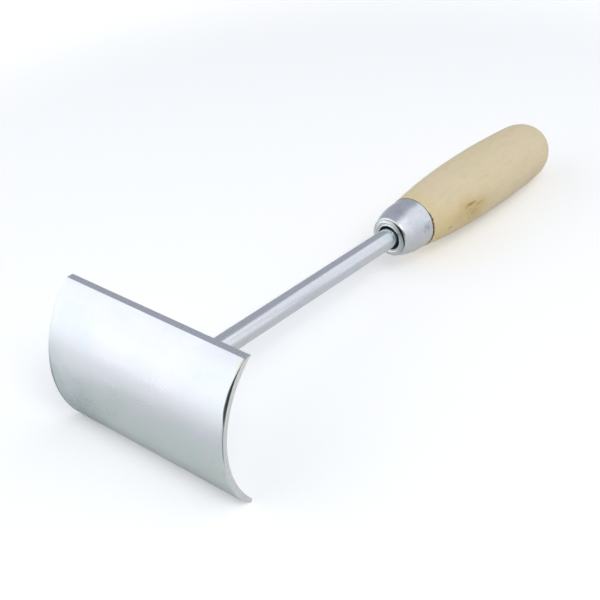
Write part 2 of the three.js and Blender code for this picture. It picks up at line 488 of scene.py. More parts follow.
def group(name, inputs, outputs):
    """Starts a node group; inputs are (name, kind, value), outputs (name, kind)."""
    tree = bpy.data.node_groups.new(name, "ShaderNodeTree")
    for label, kind, value in inputs:
        socket = tree.interface.new_socket(label, in_out="INPUT", socket_type=kind)
        if value is not None:
            socket.default_value = value
    for label, kind in outputs:
        tree.interface.new_socket(label, in_out="OUTPUT", socket_type=kind)
    start = tree.nodes.new("NodeGroupInput")
    return tree, {label: Wire(start, label) for label, _, _ in inputs}


def use(axes, name, inputs):
    """Adds a node group on the tool's axes, and gives its outputs by name."""
    inputs = {"Vector": axes, **inputs}
    shared = bpy.data.node_groups[name]
    node = put(axes.tree, "ShaderNodeGroup", inputs, node_tree=shared)
    return {output.name: Wire(node, output.name) for output in node.outputs}


VALUE = "NodeSocketFloat"
VECTOR = "NodeSocketVector"
COLOUR = "NodeSocketColor"


def plating_film_group(finish):
    """Clouds of thin film on bright zinc, in rose, green and plain."""
    inputs = [
        ("Vector", VECTOR, None),
        ("Patch", VALUE, 0.04),
        ("Strength", VALUE, 0.6),
        ("Metal", COLOUR, (*finish.zinc, 1.0)),
    ]
    tree, given = group("Plating film", inputs, [("Color", COLOUR), ("Cloud", VALUE)])
    cloud = given["Vector"].noise(given["Patch"], 4.0, 0.55, 0.6)
    other = given["Vector"].stretch((1, 1, 1), location=(71, -43, 29))
    second = other.noise(given["Patch"], 3.0, 0.5, 0.4)
    green = cloud.band(0.48, 0.66)
    rose = second.band(0.5, 0.68)
    blue = (cloud - second).band(0.14, 0.32)
    tinted = given["Metal"]
    tinted = mix(green * given["Strength"], tinted, finish.film_green)
    tinted = mix(rose * given["Strength"], tinted, finish.film_rose)
    tinted = mix(blue * given["Strength"], tinted, finish.film_blue)
    put(tree, "NodeGroupOutput", {"Color": tinted, "Cloud": cloud})


def scratches_group():
    """Short fine scratches in two directions."""
    inputs = [("Vector", VECTOR, None), ("Density", VALUE, 0.5)]
    tree, given = group("Fine scratches", inputs, [("Mask", VALUE)])
    masks = []
    for turn, place in (((0.3, 0.5, 0.2), (0, 0, 0)), ((-0.4, 0.2, 1.0), (17, 9, 31))):
        bent = given["Vector"].stretch((0.05, 1.6, 1.6), turn, place)
        thin = bent.cells()[0].band(0.02, 0.06, 1.0, 0.0)
        some = bent.noise(0.37, 0.0).reckon("LESS_THAN", given["Density"])
        masks.append(thin * some)
    put(tree, "NodeGroupOutput", {"Mask": masks[0].reckon("MAXIMUM", masks[1])})


def specks_group():
    """Scattered pits and specks."""
    inputs = [("Vector", VECTOR, None), ("Spacing", VALUE, 4.0), ("Size", VALUE, 0.08)]
    tree, given = group("Specks", inputs, [("Mask", VALUE)])
    inputs = {0: 1.0, 1: given["Spacing"]}
    scale = put(tree, "ShaderNodeMath", inputs, operation="DIVIDE")
    distance, chance = given["Vector"].cells(Wire(scale))
    chance = put(tree, "ShaderNodeSeparateColor", {"Color": chance})
    inside = Wire(chance) * given["Size"] - distance
    put(tree, "NodeGroupOutput", {"Mask": inside.band(0.0, 0.02)})


def tool_lines_group():
    """Long fine lines left by drawing, rolling or turning; Run squeezes each axis."""
    inputs = [("Vector", VECTOR, None), ("Run", VECTOR, (0.02, 2.0, 2.0))]
    tree, given = group("Tool lines", inputs, [("Height", VALUE), ("Broad", VALUE)])
    squeezed = given["Vector"].arrow("MULTIPLY", given["Run"])
    fine, broad = squeezed.noise(1.0, 3.0, 0.6), squeezed.noise(0.23, 2.0)
    put(tree, "NodeGroupOutput", {"Height": fine, "Broad": broad})


def bare_tree(owner):
    """The emptied node tree of a material or world."""
    owner.use_nodes = True
    owner.node_tree.nodes.clear()
    return owner.node_tree


def new_material(name):
    """A material with its Principled shader and the tool's own axes in millimetres."""
    material = bpy.data.materials.new(name)
    tree = bare_tree(material)
    surface = put(tree, "ShaderNodeBsdfPrincipled")
    put(tree, "ShaderNodeOutputMaterial", {"Surface": Wire(surface)})
    place = Wire(put(tree, "ShaderNodeTexCoord"), "Object")
    inputs = {"Vector": place, "Location": TOOL_PLACE, "Rotation": (0, TOOL_TILT, 0)}
    inputs["Scale"] = (MM, MM, MM)
    return material, surface, place.to("ShaderNodeMapping", inputs, vector_type="TEXTURE")


def bump(height, distance):
    """A normal from a height; the distance is in millimetres."""
    inputs = {"Height": height, "Distance": distance * MM, "Strength": 1.0}
    return height.to("ShaderNodeBump", inputs)


HALF_WIDTH = BLADE_WIDTH / 2 / MM


def blade_tints_and_shade(axes, shaded, finish):
    """Greener film and painted shade low down, painted dark reflections at both ends,
    straw at a corner.
    """
    _, y, z = axes.parts()
    drift = axes.noise(0.045, 3.0, 0.55)
    height = z + drift.band(0.3, 0.7, -9.0, 9.0)
    # Greener film towards the bottom, part real film and part painted shade.
    low = height.band(20.0, -20.0, 0.0, 0.8) * z.band(-31.0, -22.0, 0.2)
    shaded = mix(low, shaded, finish.film_green)
    patches = axes.noise(0.1, 4.0, 0.6, 0.5).band(0.5, 0.66, 0.0, 0.6)
    shaded = mix(patches * low, shaded, finish.film_rose)
    # A painted dark reflection in steel blue over the lower part of the far end.
    corner = y.band(12.0, 50.0) * height.band(8.0, -24.0)
    shaded = mix(corner * 0.75, shaded, (0.47, 0.56, 0.60))
    from_axis = axes.stretch((1.0, 0.0, 1.0), location=(-50, 0, 0.8)).size()
    front = from_axis.band(47.8, 48.8)
    # A painted dark reflection along the rolled edge of that end, low on the front face.
    edge = y.band(47.6, 49.2) * z.band(14.0, -10.0) * front
    shaded = mix(edge * 0.9, shaded, (0.20, 0.26, 0.31))
    straw = y.band(-46.5, -49.8) * z.band(25.0, 33.0)
    shaded = mix(straw * 0.6, shaded, finish.film_straw)

    # A painted dark reflection line along the rolled edge, widest over the middle.
    wide = z.band(33.5, 23.0) * z.band(10.5, 19.0)
    thin = z.band(-14.0, 0.0, 0.0, 0.38)
    painted_line_reach = wide * 0.95 + thin - y
    line = painted_line_reach.band(HALF_WIDTH + 0.05, HALF_WIDTH + 0.4) * front
    return mix(line * 0.92, shaded, (0.075, 0.085, 0.065))


def ferrule_tints(axes, shaded, finish):
    """Cloudy plating: grey over the shoulder, blue and rose blots by the skirt's end."""
    cloud = axes.noise(0.22, 4.0, 0.6, 0.5)
    shaded = mix(cloud.band(0.45, 0.68, 0.0, 0.25), shaded, finish.zinc_dull)
    wander = axes.noise(0.5).band(0.3, 0.7, -0.25, 0.25)
    # Centre and reach in millimetres, amount and tint.
    blots = (
        ((190, -10.5, 7.2), (2.2, 3.2, 3.2), 0.7, finish.film_blue),
        ((189.5, -4.2, 12.2), (2.0, 2.6, 2.6), 0.45, finish.film_blue),
        ((188.3, -12.4, 3.6), (4.2, 3.6, 4.4), 0.85, (0.56, 0.58, 0.65)),
        ((187.5, -12.6, -1.2), (2.0, 1.8, 1.8), 0.5, (0.64, 0.73, 0.88)),
        ((180.5, -1.0, 12.2), (5.0, 5.0, 5.0), 0.45, (0.62, 0.62, 0.72)),
        ((181, -10.2, -6.0), (8.0, 5.0, 6.0), 0.6, (0.70, 0.75, 0.69)),
    )
    for centre, reach, amount, tint in blots:
        mask = axes.from_place(centre, reach, wander).band(0.0, 1.0, 1.0, 0.0)
        shaded = mix(mask * amount, shaded, tint)
    return shaded


RING_LEAN = math.radians(29)  # which way the ring sits low, from straight down
# The next lean places the painted dark crescent of gap shadow over the ring.
SHADOW_CRESCENT_LEAN = math.radians(58)  # which way the gap opens over it, from straight up


def mouth_tints_and_shade(axes, shaded, finish):
    """Duller, greener plating in patches, and painted gap shadow and shade over the ring.
    """
    patchy = axes.noise(0.9, 3.0, 0.6)
    shaded = mix(patchy.band(0.3, 0.7, 0.3, 0.7), shaded, (0.73, 0.78, 0.74))

    # The ring sits low; painted shade deepens towards a painted dark crescent of gap
    # shadow.
    lean, off = SHADOW_CRESCENT_LEAN, 3.0
    shift = (0, -off * math.sin(lean), off * math.cos(lean))
    gap_shadow_distance = axes.stretch((0.0, 1.0, 1.0), location=shift).size()
    shaded = mix(gap_shadow_distance.band(9.2, 10.9, 0.0, 0.55), shaded, (0.38, 0.43, 0.38))
    return mix(gap_shadow_distance.band(11.2, 11.34) * 0.93, shaded, (0.035, 0.04, 0.035))


# How each plated piece is finished: the run and the depth of its tool lines, the patch
# and the strength of its film, its mottling and its own tints and painted shade.
PLATING = {
    "zinc_plate": ((0.3, 0.03, 0.3), 0.0012, 0.03, 0.18, 0.05, blade_tints_and_shade),
    "zinc_bar": ((0.012, 1.6, 1.6), 0.003, 0.05, 0.4, 0.1, None),
    "zinc_ring": ((0.6, 0.3, 0.3), 0.006, 0.12, 0.55, 0.1, mouth_tints_and_shade),
    "drawn_zinc": ((0.25, 0.5, 0.5), 0.003, 0.12, 0.6, 0.14, ferrule_tints),
}


def zinc_material(name, finish, roughness):
    """Bright plating over steel: film clouds, tool lines, scratches and specks."""
    lines, depth, patch, strength, mottling, tints_and_shade = PLATING[name]
    material, surface, axes = new_material(name)
    film = use(axes, "Plating film", {"Patch": patch, "Strength": strength})
    drawn = use(axes, "Tool lines", {"Run": lines})
    scratched = use(axes, "Fine scratches", {"Density": 0.34})["Mask"]
    speck = use(axes, "Specks", {"Spacing": 4.0, "Size": 0.07})["Mask"]
    mottle = axes.noise(0.55, 4.0, 0.62)

    broad = drawn["Broad"].band(0.35, 0.7, 0.0, 0.12)
    shaded = mix(broad, film["Color"], finish.zinc_dull)
    shaded = mix(mottle.band(0.35, 0.75, 0.0, mottling), shaded, finish.zinc_dull)
    # Own tints; on the blade and the ring these include painted shade.
    if tints_and_shade:
        shaded = tints_and_shade(axes, shaded, finish)
    shaded = mix(speck * 0.25, shaded, finish.zinc_dull)

    rough = film["Cloud"].band(0.3, 0.7, roughness * 0.88, roughness * 1.12)
    rough += mottle.band(0.35, 0.7, -0.1 * mottling, 0.3 * mottling)
    rough += drawn["Height"].band(0.3, 0.7, -0.02, 0.03)
    rough += scratched * 0.12
    height = drawn["Height"] - scratched * 0.4 - speck * 0.7 + mottle * (8 * mottling)
    looks = {"Base Color": shaded, "Roughness": rough, "Metallic": 1.0}
    fill(surface, {**looks, "Normal": bump(height, depth)})
    return material


def cut_edge_material(finish):
    """Sheared edges of the plate: fine lines under dull plating, paler on the ends."""
    material, surface, axes = new_material("sheared_edge")
    film = use(axes, "Plating film", {"Patch": 0.15, "Strength": 0.3})["Color"]
    drawn = use(axes, "Tool lines", {"Run": (0.35, 1.5, 0.5)})["Height"]
    _, y, z = axes.parts()
    end = y.reckon("ABSOLUTE").reckon("GREATER_THAN", HALF_WIDTH - 0.05)
    top = mix(drawn.band(0.3, 0.75, 0.1, 0.6), film, finish.zinc_dull)
    pale = mix(drawn.band(0.3, 0.75, 0.0, 0.3), finish.zinc_cut, finish.zinc_dull)
    pale = mix(z.band(32.0, 6.0, 0.0, 0.22), pale, finish.zinc_dull)
    looks = {
        "Base Color": mix(end, top, pale),
        "Roughness": drawn.band(0.3, 0.7, 0.26, 0.42) + end * 0.08,
        "Metallic": end * -0.45 + 1.0,
        "Normal": bump(drawn, 0.03),
    }
    fill(surface, looks)
    return material


def weld_material(finish):
    """Rougher plating over the weld's skin."""
    material, surface, axes = new_material("plated_weld")
    film = use(axes, "Plating film", {"Patch": 0.3, "Strength": 0.4})["Color"]
    grain = axes.noise(2.4, 4.0, 0.6)
    looks = {
        "Base Color": mix(grain.band(0.35, 0.7, 0.2, 0.8), film, finish.zinc_dull),
        "Roughness": grain.band(0.3, 0.7, 0.3, 0.5),
        "Metallic": 1.0,
        "Normal": bump(grain, 0.06),
    }
    fill(surface, looks)
    return material


def wood_material(finish):
    """Pale turned wood: faint growth rings, fibres, flecks and a small stained knot."""
    material, surface, axes = new_material("pale_turned_wood")
    shoulder = bpy.context.scene.draw_hoe.grip.shoulder / MM
    wander = axes.stretch((0.012, 0.05, 0.05)).noise(1.0, 2.0)
    x, y, z = axes.parts()
    across = axes.stretch((0.0, 1.0, 1.0), location=(0, 24, 31)).size()
    beat = ((across + wander * 9.0 + x * 0.02) * 0.31).reckon("FRACT")
    late = beat.band(0.35, 0.95) * beat.band(0.95, 1.0, 1.0, 0.0)

    fibre = axes.stretch((0.07, 1.7, 1.7)).noise(1.0, 4.0, 0.65)
    fleck = axes.stretch((0.42, 2.6, 2.6)).cells()[0].band(0.1, 0.24, 1.0, 0.0)
    clouds = axes.stretch((0.03, 0.06, 0.06)).noise(1.0)
    blotch = axes.stretch((0.14, 0.3, 0.3)).noise(1.0, 4.0, 0.6)

    tone = mix(late * 0.2, finish.wood, finish.wood_late)
    tone = mix(clouds.band(0.4, 0.65, 0.0, 0.6), tone, finish.wood_warm)
    tone = mix(blotch.band(0.45, 0.75, 0.0, 0.45), tone, finish.wood_late)
    tone = mix(fibre.band(0.45, 0.8, 0.0, 0.4), tone, finish.wood_late)
    tone = mix(fleck.band(0.0, 1.0, 0.0, 0.18), tone, finish.wood_stain)

    # Yellower by the ferrule, most on the near side.
    near = x.band(240.0, 198.0) * z.band(13.0, -1.0)
    near = near.reckon("MAXIMUM", x.band(204.0, 194.0, 0.0, 0.5))
    heel = x.band(294.0, 308.0, 0.0, 0.4) * y.band(4.0, -8.0)
    near = near.reckon("MAXIMUM", heel) * blotch.band(0.3, 0.7, 0.55, 1.0)
    tone = mix(near, tone, finish.wood_yellow)

    # A small knot: a tan stain, lines that swirl round it and a dark streak over it.
    bend = axes.noise(0.12, 2.0).band(0.25, 0.75, -0.16, 0.16)
    stain = axes.from_place((224, -15.8, -0.5), (24.0, 9.0, 11.0), bend)
    tone = mix(stain.band(0.0, 1.0, 1.0, 0.0) * 0.75, tone, finish.wood_stain)
    ragged = axes.noise(0.25, 2.0).band(0.25, 0.75, -0.14, 0.14)
    turns = axes.from_place((223.0, -15.8, -2.0), (9.5, 5.0, 5.5), ragged)
    swirl = turns.band(0.3, 1.0, 1.0, 0.0)
    lines = (turns * 3.2).reckon("FRACT")
    lines = lines.band(0.3, 0.8) * lines.band(0.8, 1.0, 1.0, 0.0)
    tone = mix(lines * swirl * 0.3, tone, finish.wood_knot)
    broken = fibre.band(0.35, 0.6, 0.45, 1.0)
    # Centre and reach in millimetres, and amount.
    marks = (
        ((221.8, -15.6, 3.4), (5.4, 2.4, 1.2), 0.8),
        ((228.0, -16.2, 1.4), (7.0, 2.6, 0.9), 0.5),
        ((217.6, -15.0, 2.9), (2.0, 2.2, 2.1), 0.35),
        ((205.9, -14.0, -3.7), (1.9, 1.3, 0.7), 0.95),
        ((204.9, -13.7, -4.7), (0.8, 1.0, 0.9), 0.6),
        ((209.0, -1.4, 14.6), (1.0, 0.6, 1.0), 0.35),
        ((266.0, -12.0, 11.6), (0.9, 0.6, 0.8), 0.25),
    )
    for centre, reach, amount in marks:
        mask = axes.from_place(centre, reach, ragged * 0.8).band(0.2, 1.0, 1.0, 0.0)
        tone = mix(mask * broken * amount, tone, finish.wood_knot)

    # Painted shade inside the ferrule and a painted seam shadow along its edge, wider on
    # the near side.
    jagged = axes.noise(1.3, 2.0).band(0.3, 0.7, -0.6, 0.5)
    seam_shadow_width = y.band(-8.0, -13.0, 0.02, 0.85)
    seam_shadow_width += jagged * seam_shadow_width
    dark = (x - (seam_shadow_width + shoulder)).band(-0.15, 0.12, 1.0, 0.0)
    tone = mix(dark * 0.93, tone, (0.13, 0.085, 0.018))
    inside = x.band(shoulder - 0.1, shoulder + 0.05, 1.0, 0.0)
    tone = mix(inside, tone, (0.012, 0.009, 0.006))

    rough = finish.wood_roughness
    rough = fibre.band(0.3, 0.75, rough - 0.05, rough + 0.1)
    relief = bump(fibre - fleck * 0.6 - dark * 3.0, 0.05)
    looks = {"Base Color": tone, "Roughness": rough, "IOR": 1.45, "Normal": relief}
    fill(surface, looks)
    return material


def floor_material(stage):
    """Pale lit sheet, dimmer in reflections, as a table is beside its lamps."""
    material = bpy.data.materials.new("pale_floor")
    tree = bare_tree(material)
    ray = put(tree, "ShaderNodeLightPath")
    place = Wire(put(tree, "ShaderNodeTexCoord"), "Object")
    grain = place.noise(300.0).band(0.3, 0.7, 0.0, 0.01)
    pale = mix(grain, stage.floor, (0.8, 0.8, 0.8))
    dim = [stage.floor_gloss * part for part in stage.floor]
    bounced = Wire(ray, "Is Diffuse Ray") * 0.4 + Wire(ray, "Is Glossy Ray")
    seen = mix(bounced, pale, dim)
    glow = place.size().band(0.3, 0.62, stage.floor_glow, stage.far_glow)
    looks = {
        "Base Color": seen,
        "Roughness": 0.9,
        "Specular IOR Level": 0.0,
        "Emission Color": (1.0, 1.0, 1.0),
        "Emission Strength": Wire(ray, "Is Camera Ray") * glow,
    }
    surface = put(tree, "ShaderNodeBsdfPrincipled", looks)
    put(tree, "ShaderNodeOutputMaterial", {"Surface": Wire(surface)})
    return material


# ---- Pieces ---------------------------------------------------------------------------


def hoe(context):
    return context.scene.draw_hoe


BEND_START, BEND = math.radians(52), math.radians(98)

# Share of the full roll at heights in millimetres, from the cutting edge to the top.
ROLL_BY_HEIGHT = ((-33.3, 0.4), (-20, 0.75), (0, 1.0), (20, 1.0), (29, 0.5), (34.8, 0.2))
SLAB = 2 * MM  # the roll changes in steps of this height
ROLL_CUTS = 5
END_FACING, TOP_FACING = 0.97, 0.99  # least lean of the cut faces to Y and to Z


def between(points, value):
    """Reads a value off a broken line."""
    if value <= points[0][0]:
        return points[0][1]
    for (low, start), (high, end) in zip(points, points[1:]):
        if value <= high:
            return start + (end - start) * (value - low) / (high - low)
    return points[-1][1]


def face_x(size, radius, height):
    """Where one of the plate's two faces lies at a height."""
    return size.radius - math.sqrt(radius**2 - (height + size.drop) ** 2)


def bend_plate(size):
    """Bends the plate, a little further than needed both ways; it is trimmed after."""
    start, middle = BEND_START, size.radius - size.thickness / 2
    across, up = middle * math.cos(start), middle * math.sin(start)
    clear_selection()
    bpy.ops.mesh.primitive_plane_add(
        size=1,
        location=(size.radius - across, 0, up - size.drop),
        rotation=(0, start, 0),
    )
    bpy.context.object.scale = (size.thickness, size.width, 1)
    settle()
    edit()
    axis = (size.radius, 0, -size.drop)
    bpy.ops.mesh.spin(steps=size.steps, angle=BEND, center=axis, axis=(0, 1, 0))
    close_up()


def thin_top(size):
    """Cuts the top edge level and thins the front face back to it."""
    top_x = face_x(size, size.radius, size.above) + size.top_flat
    thin_z = size.above - size.top_thin
    lean = math.asin((thin_z + size.drop) / size.radius)
    along = (-1.9 * MM, -1.42 * MM)
    into_face = (-2.6 * MM * math.sin(lean), -2.6 * MM * math.cos(lean))
    foot = (face_x(size, size.radius, thin_z), thin_z)
    thinning = run((top_x, size.above), (along, into_face, foot, 20))
    shave([((0, size.above), (-1, 0)), (thinning[0], along), *flats(thinning)])


def thin_cutting_edge(size):
    """Thins the front face down to the cutting edge, with a blunt land behind it."""
    inner = size.radius - size.thickness
    edge_z = -size.below
    land_z = edge_z + size.land
    bevel_z = edge_z + size.bevel
    land_top = Vector((face_x(size, inner, land_z), land_z))
    tip = Vector((land_top.x - size.land_lean, edge_z))
    last = (1.92 * MM, -0.82 * MM)
    bevel = run(
        (face_x(size, size.radius, bevel_z), bevel_z),
        ((1.34 * MM, -2 * MM), last, tip, 14),
    )
    shave([*flats(bevel), (tip, last), (tip, land_top - tip)])
    close_up()


def rolled_places(start):
    """Places across the blade past the start, each with the slabs of height it spans."""
    shape = bmesh.from_edit_mesh(bpy.context.edit_object.data)
    found = {
        (round(abs(point.co.y), 6), math.floor(point.co.z / SLAB))
        for point in shape.verts
        if abs(point.co.y) > start + NEAR
    }
    return sorted(found, key=lambda pair: (pair[0], abs(pair[1] + 0.5)))


def roll_ends(size):
    """Rolls the front corners at both ends over, most at mid height, as shears do."""
    half, roll = size.width / 2, size.end_roll
    turns = [math.radians(90) * step / ROLL_CUTS for step in range(ROLL_CUTS)]
    cuts = [half - roll * (1 - math.sin(turn)) for turn in turns]
    guard = half - 1.5 * roll  # keeps the rest of the face out of the roll
    for place in (guard, *cuts):
        for side in (-1, 1):
            select_whole()
            bpy.ops.mesh.bisect(
                plane_co=(0, side * place, 0), plane_no=(0, side, 0), threshold=SEAM
            )
    axis = Vector((size.radius, 0, -size.drop))
    front = size.radius - 0.4 * size.thickness
    for place, height in rolled_places(half - roll):
        rise = min(1.0, 1 - (half - place) / roll)
        part = between(ROLL_BY_HEIGHT, (height + 0.5) * SLAB / MM)
        inward = part * roll * (1 - math.sqrt(1 - rise**2))
        pick(
            "VERT",
            lambda point: abs(abs(point.co.y) - place) < NEAR
            and math.floor(point.co.z / SLAB) == height
            and math.hypot(point.co.x - axis.x, point.co.z - axis.z) > front,
            needed=False,
        )
        shrink = 1 - inward / size.radius
        bpy.ops.transform.resize(value=(shrink, 1, shrink), center_override=axis)
    close_up()


class HOE_OT_blade(bpy.types.Operator):
    """Bends the blade from plate, rounds its top and ends, and thins its cutting edge"""

    bl_idname = "draw_hoe.blade"
    bl_label = "Blade"

    def execute(self, context):
        size, finish = hoe(context).blade, hoe(context).finish
        bend_plate(size)
        thin_top(size)
        thin_cutting_edge(size)
        bpy.ops.object.mode_set(mode="OBJECT")
        modify(
            "BEVEL",
            limit_method="ANGLE",
            angle_limit=math.radians(30),
            width=size.crisp,
            segments=2,
            use_clamp_overlap=False,
        )
        edit()
        close_up()
        roll_ends(size)

        # The cut faces, top and ends, have their own finish.
        plate = zinc_material("zinc_plate", finish, finish.blade_roughness)
        piece = bpy.context.object
        piece.data.materials.append(plate)
        piece.data.materials.append(cut_edge_material(finish))
        top_z = size.above - MM
        pick(
            "FACE",
            lambda face: abs(face.normal.y) > END_FACING
            or (face.normal.z > TOP_FACING and face.calc_center_median().z > top_z),
        )
        piece.active_material_index = 1
        bpy.ops.object.material_slot_assign()
        finish_piece("blade_plate", plate, "blade")
        modify("WEIGHTED_NORMAL", keep_sharp=True, weight=60)
        return {"FINISHED"}


class HOE_OT_bar(bpy.types.Operator):
    """Cuts the round bar to length and chamfers its tang"""

    bl_idname = "draw_hoe.bar"
    bl_label = "Bar"

    def execute(self, context):
        size, finish = hoe(context).bar, hoe(context).finish
        clear_selection()
        bpy.ops.mesh.primitive_cylinder_add(
            vertices=72,
            radius=size.radius,
            depth=size.back - size.front,
            location=((size.front + size.back) / 2, 0, 0),
            rotation=(0, math.pi / 2, 0),
        )
        settle()
        edit()
        ends = ((size.back, size.chamfer, 1), (size.front, 0.4 * MM, 2))
        for place, offset, segments in ends:
            pick("EDGE", lambda edge: all(abs(v.co.x - place) < NEAR for v in edge.verts))
            bpy.ops.mesh.bevel(offset=offset, segments=segments, affect="EDGES")
        close_up()
        metal = zinc_material("zinc_bar", finish, finish.bar_roughness)
        finish_piece("round_bar", metal, "bar")
        return {"FINISHED"}


class HOE_OT_weld(bpy.types.Operator):
    """Lays the rippled fillet weld between the bar and the blade's hollow"""

    bl_idname = "draw_hoe.weld"
    bl_label = "Weld bead"

    def execute(self, context):
        sizes, finish = hoe(context), hoe(context).finish
        blade, bar = sizes.blade, sizes.bar
        hollow = blade.radius - blade.thickness
        root = bar.radius - 0.05 * MM
        outer = bar.radius + bar.weld_leg
        seat = face_x(blade, hollow, outer)
        deep = blade.thickness - 0.4 * MM
        back = seat + bar.weld_leg
        on_bar = (back, bar.radius + bar.weld_toe * 0.3)
        out_of_seat = (0.9 * MM, -bar.weld_leg * 0.3)
        along_bar = (bar.weld_leg * 0.35, -0.7 * MM)
        skin = run(
            (seat + bar.weld_toe * 0.4, outer), (out_of_seat, along_bar, on_bar, 9)
        )
        steps = 4 * bar.ripples
        outline = [(deep, root), (deep, outer), *skin, (back + 0.25 * MM, root)]
        turn_on_lathe([*outline, outline[0]], steps)

        # Every fourth section is swollen a little, each by its own amount.
        luck = random.Random(7)
        for ripple in range(bar.ripples):
            angle = FULL_TURN * ripple / bar.ripples

            def on_crest(point):
                turn = math.atan2(point.co.y, point.co.z) - angle
                turn = (turn + math.pi) % FULL_TURN - math.pi
                return (
                    point.co.x >= seat + bar.weld_toe
                    and abs(turn) < 0.3 * FULL_TURN / steps
                    and math.hypot(point.co.y, point.co.z) > bar.radius + 0.3 * MM
                )

            pick("VERT", on_crest)
            bpy.ops.transform.shrink_fatten(value=bar.ripple * luck.uniform(0.6, 1.3))
        bpy.ops.object.mode_set(mode="OBJECT")
        bead = bpy.context.object

        # Trimmed to the blade's hollow face, just inside its surface.
        clear_selection()
        bpy.ops.mesh.primitive_cylinder_add(
            vertices=240,
            radius=hollow + 0.1 * MM,
            depth=blade.width,
            location=(blade.radius, 0, -blade.drop),
            rotation=(math.pi / 2, 0, 0),
        )
        cutter = bpy.context.object
        clear_selection()
        bead.select_set(True)
        bpy.context.view_layer.objects.active = bead
        modify("BOOLEAN", operation="INTERSECT", solver="EXACT", object=cutter)
        bpy.data.objects.remove(cutter, do_unlink=True)
        modify("SUBSURF", levels=1, render_levels=1)
        finish_piece("weld_fillet", weld_material(finish), "weld_bead", 50)
        return {"FINISHED"}


class HOE_OT_ring(bpy.types.Operator):
    """Turns the grooved ring that closes the ferrule's mouth"""

    bl_idname = "draw_hoe.ring"
    bl_label = "Mouth ring"

    def execute(self, context):
        size, finish = hoe(context).ring, hoe(context).finish
        front, back, bore = size.front, size.front + size.thickness, size.bore
        bend = size.round * ARC
        groove = (front + size.groove, bore + 0.9 * MM)
        edge = (front + 0.66 * MM, size.radius)
        face = run(
            (front + size.round, bore),
            ((-bend, 0), (0, bend), (front, bore + size.round), 6),
            ((0, 0.2 * MM), (0, 0.16 * MM), groove, 5),
            ((0, 0.16 * MM), (0, 0.2 * MM), (front, bore + 1.5 * MM), 5),
            ((0, 0.6 * MM), (0.24 * MM, 0.36 * MM), edge, 10),
        )
        outline = [(back, bore), *face, (back, size.radius), (back, bore)]
        turn_on_lathe(outline, sides=96)
        lean, off = RING_LEAN, size.off_centre
        low = (0, off * math.sin(lean), -off * math.cos(lean))
        bpy.ops.transform.translate(value=low)
        metal = zinc_material("zinc_ring", finish, finish.ferrule_roughness)
        finish_piece("grooved_ring", metal, "mouth_ring")
        return {"FINISHED"}


def ferrule_line(size):
    """Outer line of the ferrule from behind its rim to the end of its skirt."""
    cone_end = size.mouth + size.cone
    skirt_end = (cone_end + size.skirt, size.skirt_radius)
    return run(
        (size.mouth + size.rim_round, size.rim),
        ((4 * MM, 1.45 * MM), (3.5 * MM, 0.28 * MM), (cone_end, size.cone_radius), 16),
        ((2 * MM, 0.12 * MM), (2 * MM, 0.08 * MM), skirt_end, 5),
    )


def inside_line(size, depth, bore):
    """The same line at a depth under it, as far as it stays clear of a bore."""
    line = [point - Vector((0, depth)) for point in ferrule_line(size)]
    return [point for point in line if point.y > bore]


class HOE_OT_ferrule(bpy.types.Operator):
    """Draws the ferrule: a thin cone with a rounded rim and a straight skirt"""

    bl_idname = "draw_hoe.ferrule"
    bl_label = "Ferrule"

    def execute(self, context):
        size, finish = hoe(context).ferrule, hoe(context).finish
        bend, mouth = size.rim_round * ARC, (size.mouth, size.bore)
        outer = ferrule_line(size)
        inner = inside_line(size, size.wall, size.bore)
        rim = run(mouth, ((0.55 * bend, 0.85 * bend), (bend, 0.3 * bend), outer[0], 6))
        inside = [*inner[::-1], (inner[0].x, size.bore)]
        turn_on_lathe([*rim, *outer[1:], *inside, mouth], sides=128)
        metal = zinc_material("drawn_zinc", finish, finish.ferrule_roughness)
        finish_piece("drawn_ferrule", metal, "ferrule")
        return {"FINISHED"}


class HOE_OT_grip(bpy.types.Operator):
    """Turns the wooden grip with its neck and bore"""

    bl_idname = "draw_hoe.grip"
    bl_label = "Grip"

    def execute(self, context):
        size, ferrule = hoe(context).grip, hoe(context).ferrule
        belly = size.shoulder + size.belly
        heel = belly + size.heel
        tip = (heel + size.butt, 0)
        gap = 0.3 * MM
        inside = inside_line(ferrule, ferrule.wall + gap, size.bore)
        neck = [point for point in inside if point.x > size.neck_front]
        skin = run(
            (size.shoulder, size.shoulder_radius),
            ((20 * MM, 2.7 * MM), (25 * MM, 0), (belly, size.belly_radius), 30),
            ((14 * MM, 0), (12 * MM, -0.7 * MM), (heel, size.heel_radius), 16),
            ((10 * MM, -0.6 * MM), (0, -ARC * size.heel_radius), tip, 24),
        )
        outline = [
            (size.bore_end + size.drill_point, 0),
            (size.bore_end, size.bore),
            (size.neck_front, size.bore),
            (size.neck_front, neck[0].y - gap),
            *neck,
            (size.shoulder, neck[-1].y),
            *skin,
        ]
        turn_on_lathe(outline, size.sides)
        wood = wood_material(hoe(context).finish)
        finish_piece("turned_grip", wood, "grip")
        return {"FINISHED"}


# ---- Stage ----------------------------------------------------------------------------


BY_BLADE = (-0.14, 0.0)  # the place on the floor that the leaning panels stand round
OFF_FLOOR = 0.004
BEHIND_CAMERA = -124  # azimuth


def add_panel(name, brightness, place, toward, width, height):
    """A soft rectangular panel whose face has the given brightness."""
    bpy.ops.object.light_add(
        type="AREA", location=place, rotation=toward.to_track_quat("-Z", "Y").to_euler()
    )
    light = bpy.context.object
    light.name = name
    light.data.shape = "RECTANGLE"
    light.data.size = width
    light.data.size_y = height
    light.data.energy = brightness * math.pi * width * height
    light.visible_camera = False


def add_panel_light(name, brightness, place, aim_height, width, height):
    """A panel that faces a height over the origin."""
    toward = Vector((0, 0, aim_height)) - Vector(place)
    add_panel(name, brightness, place, toward, width, height)


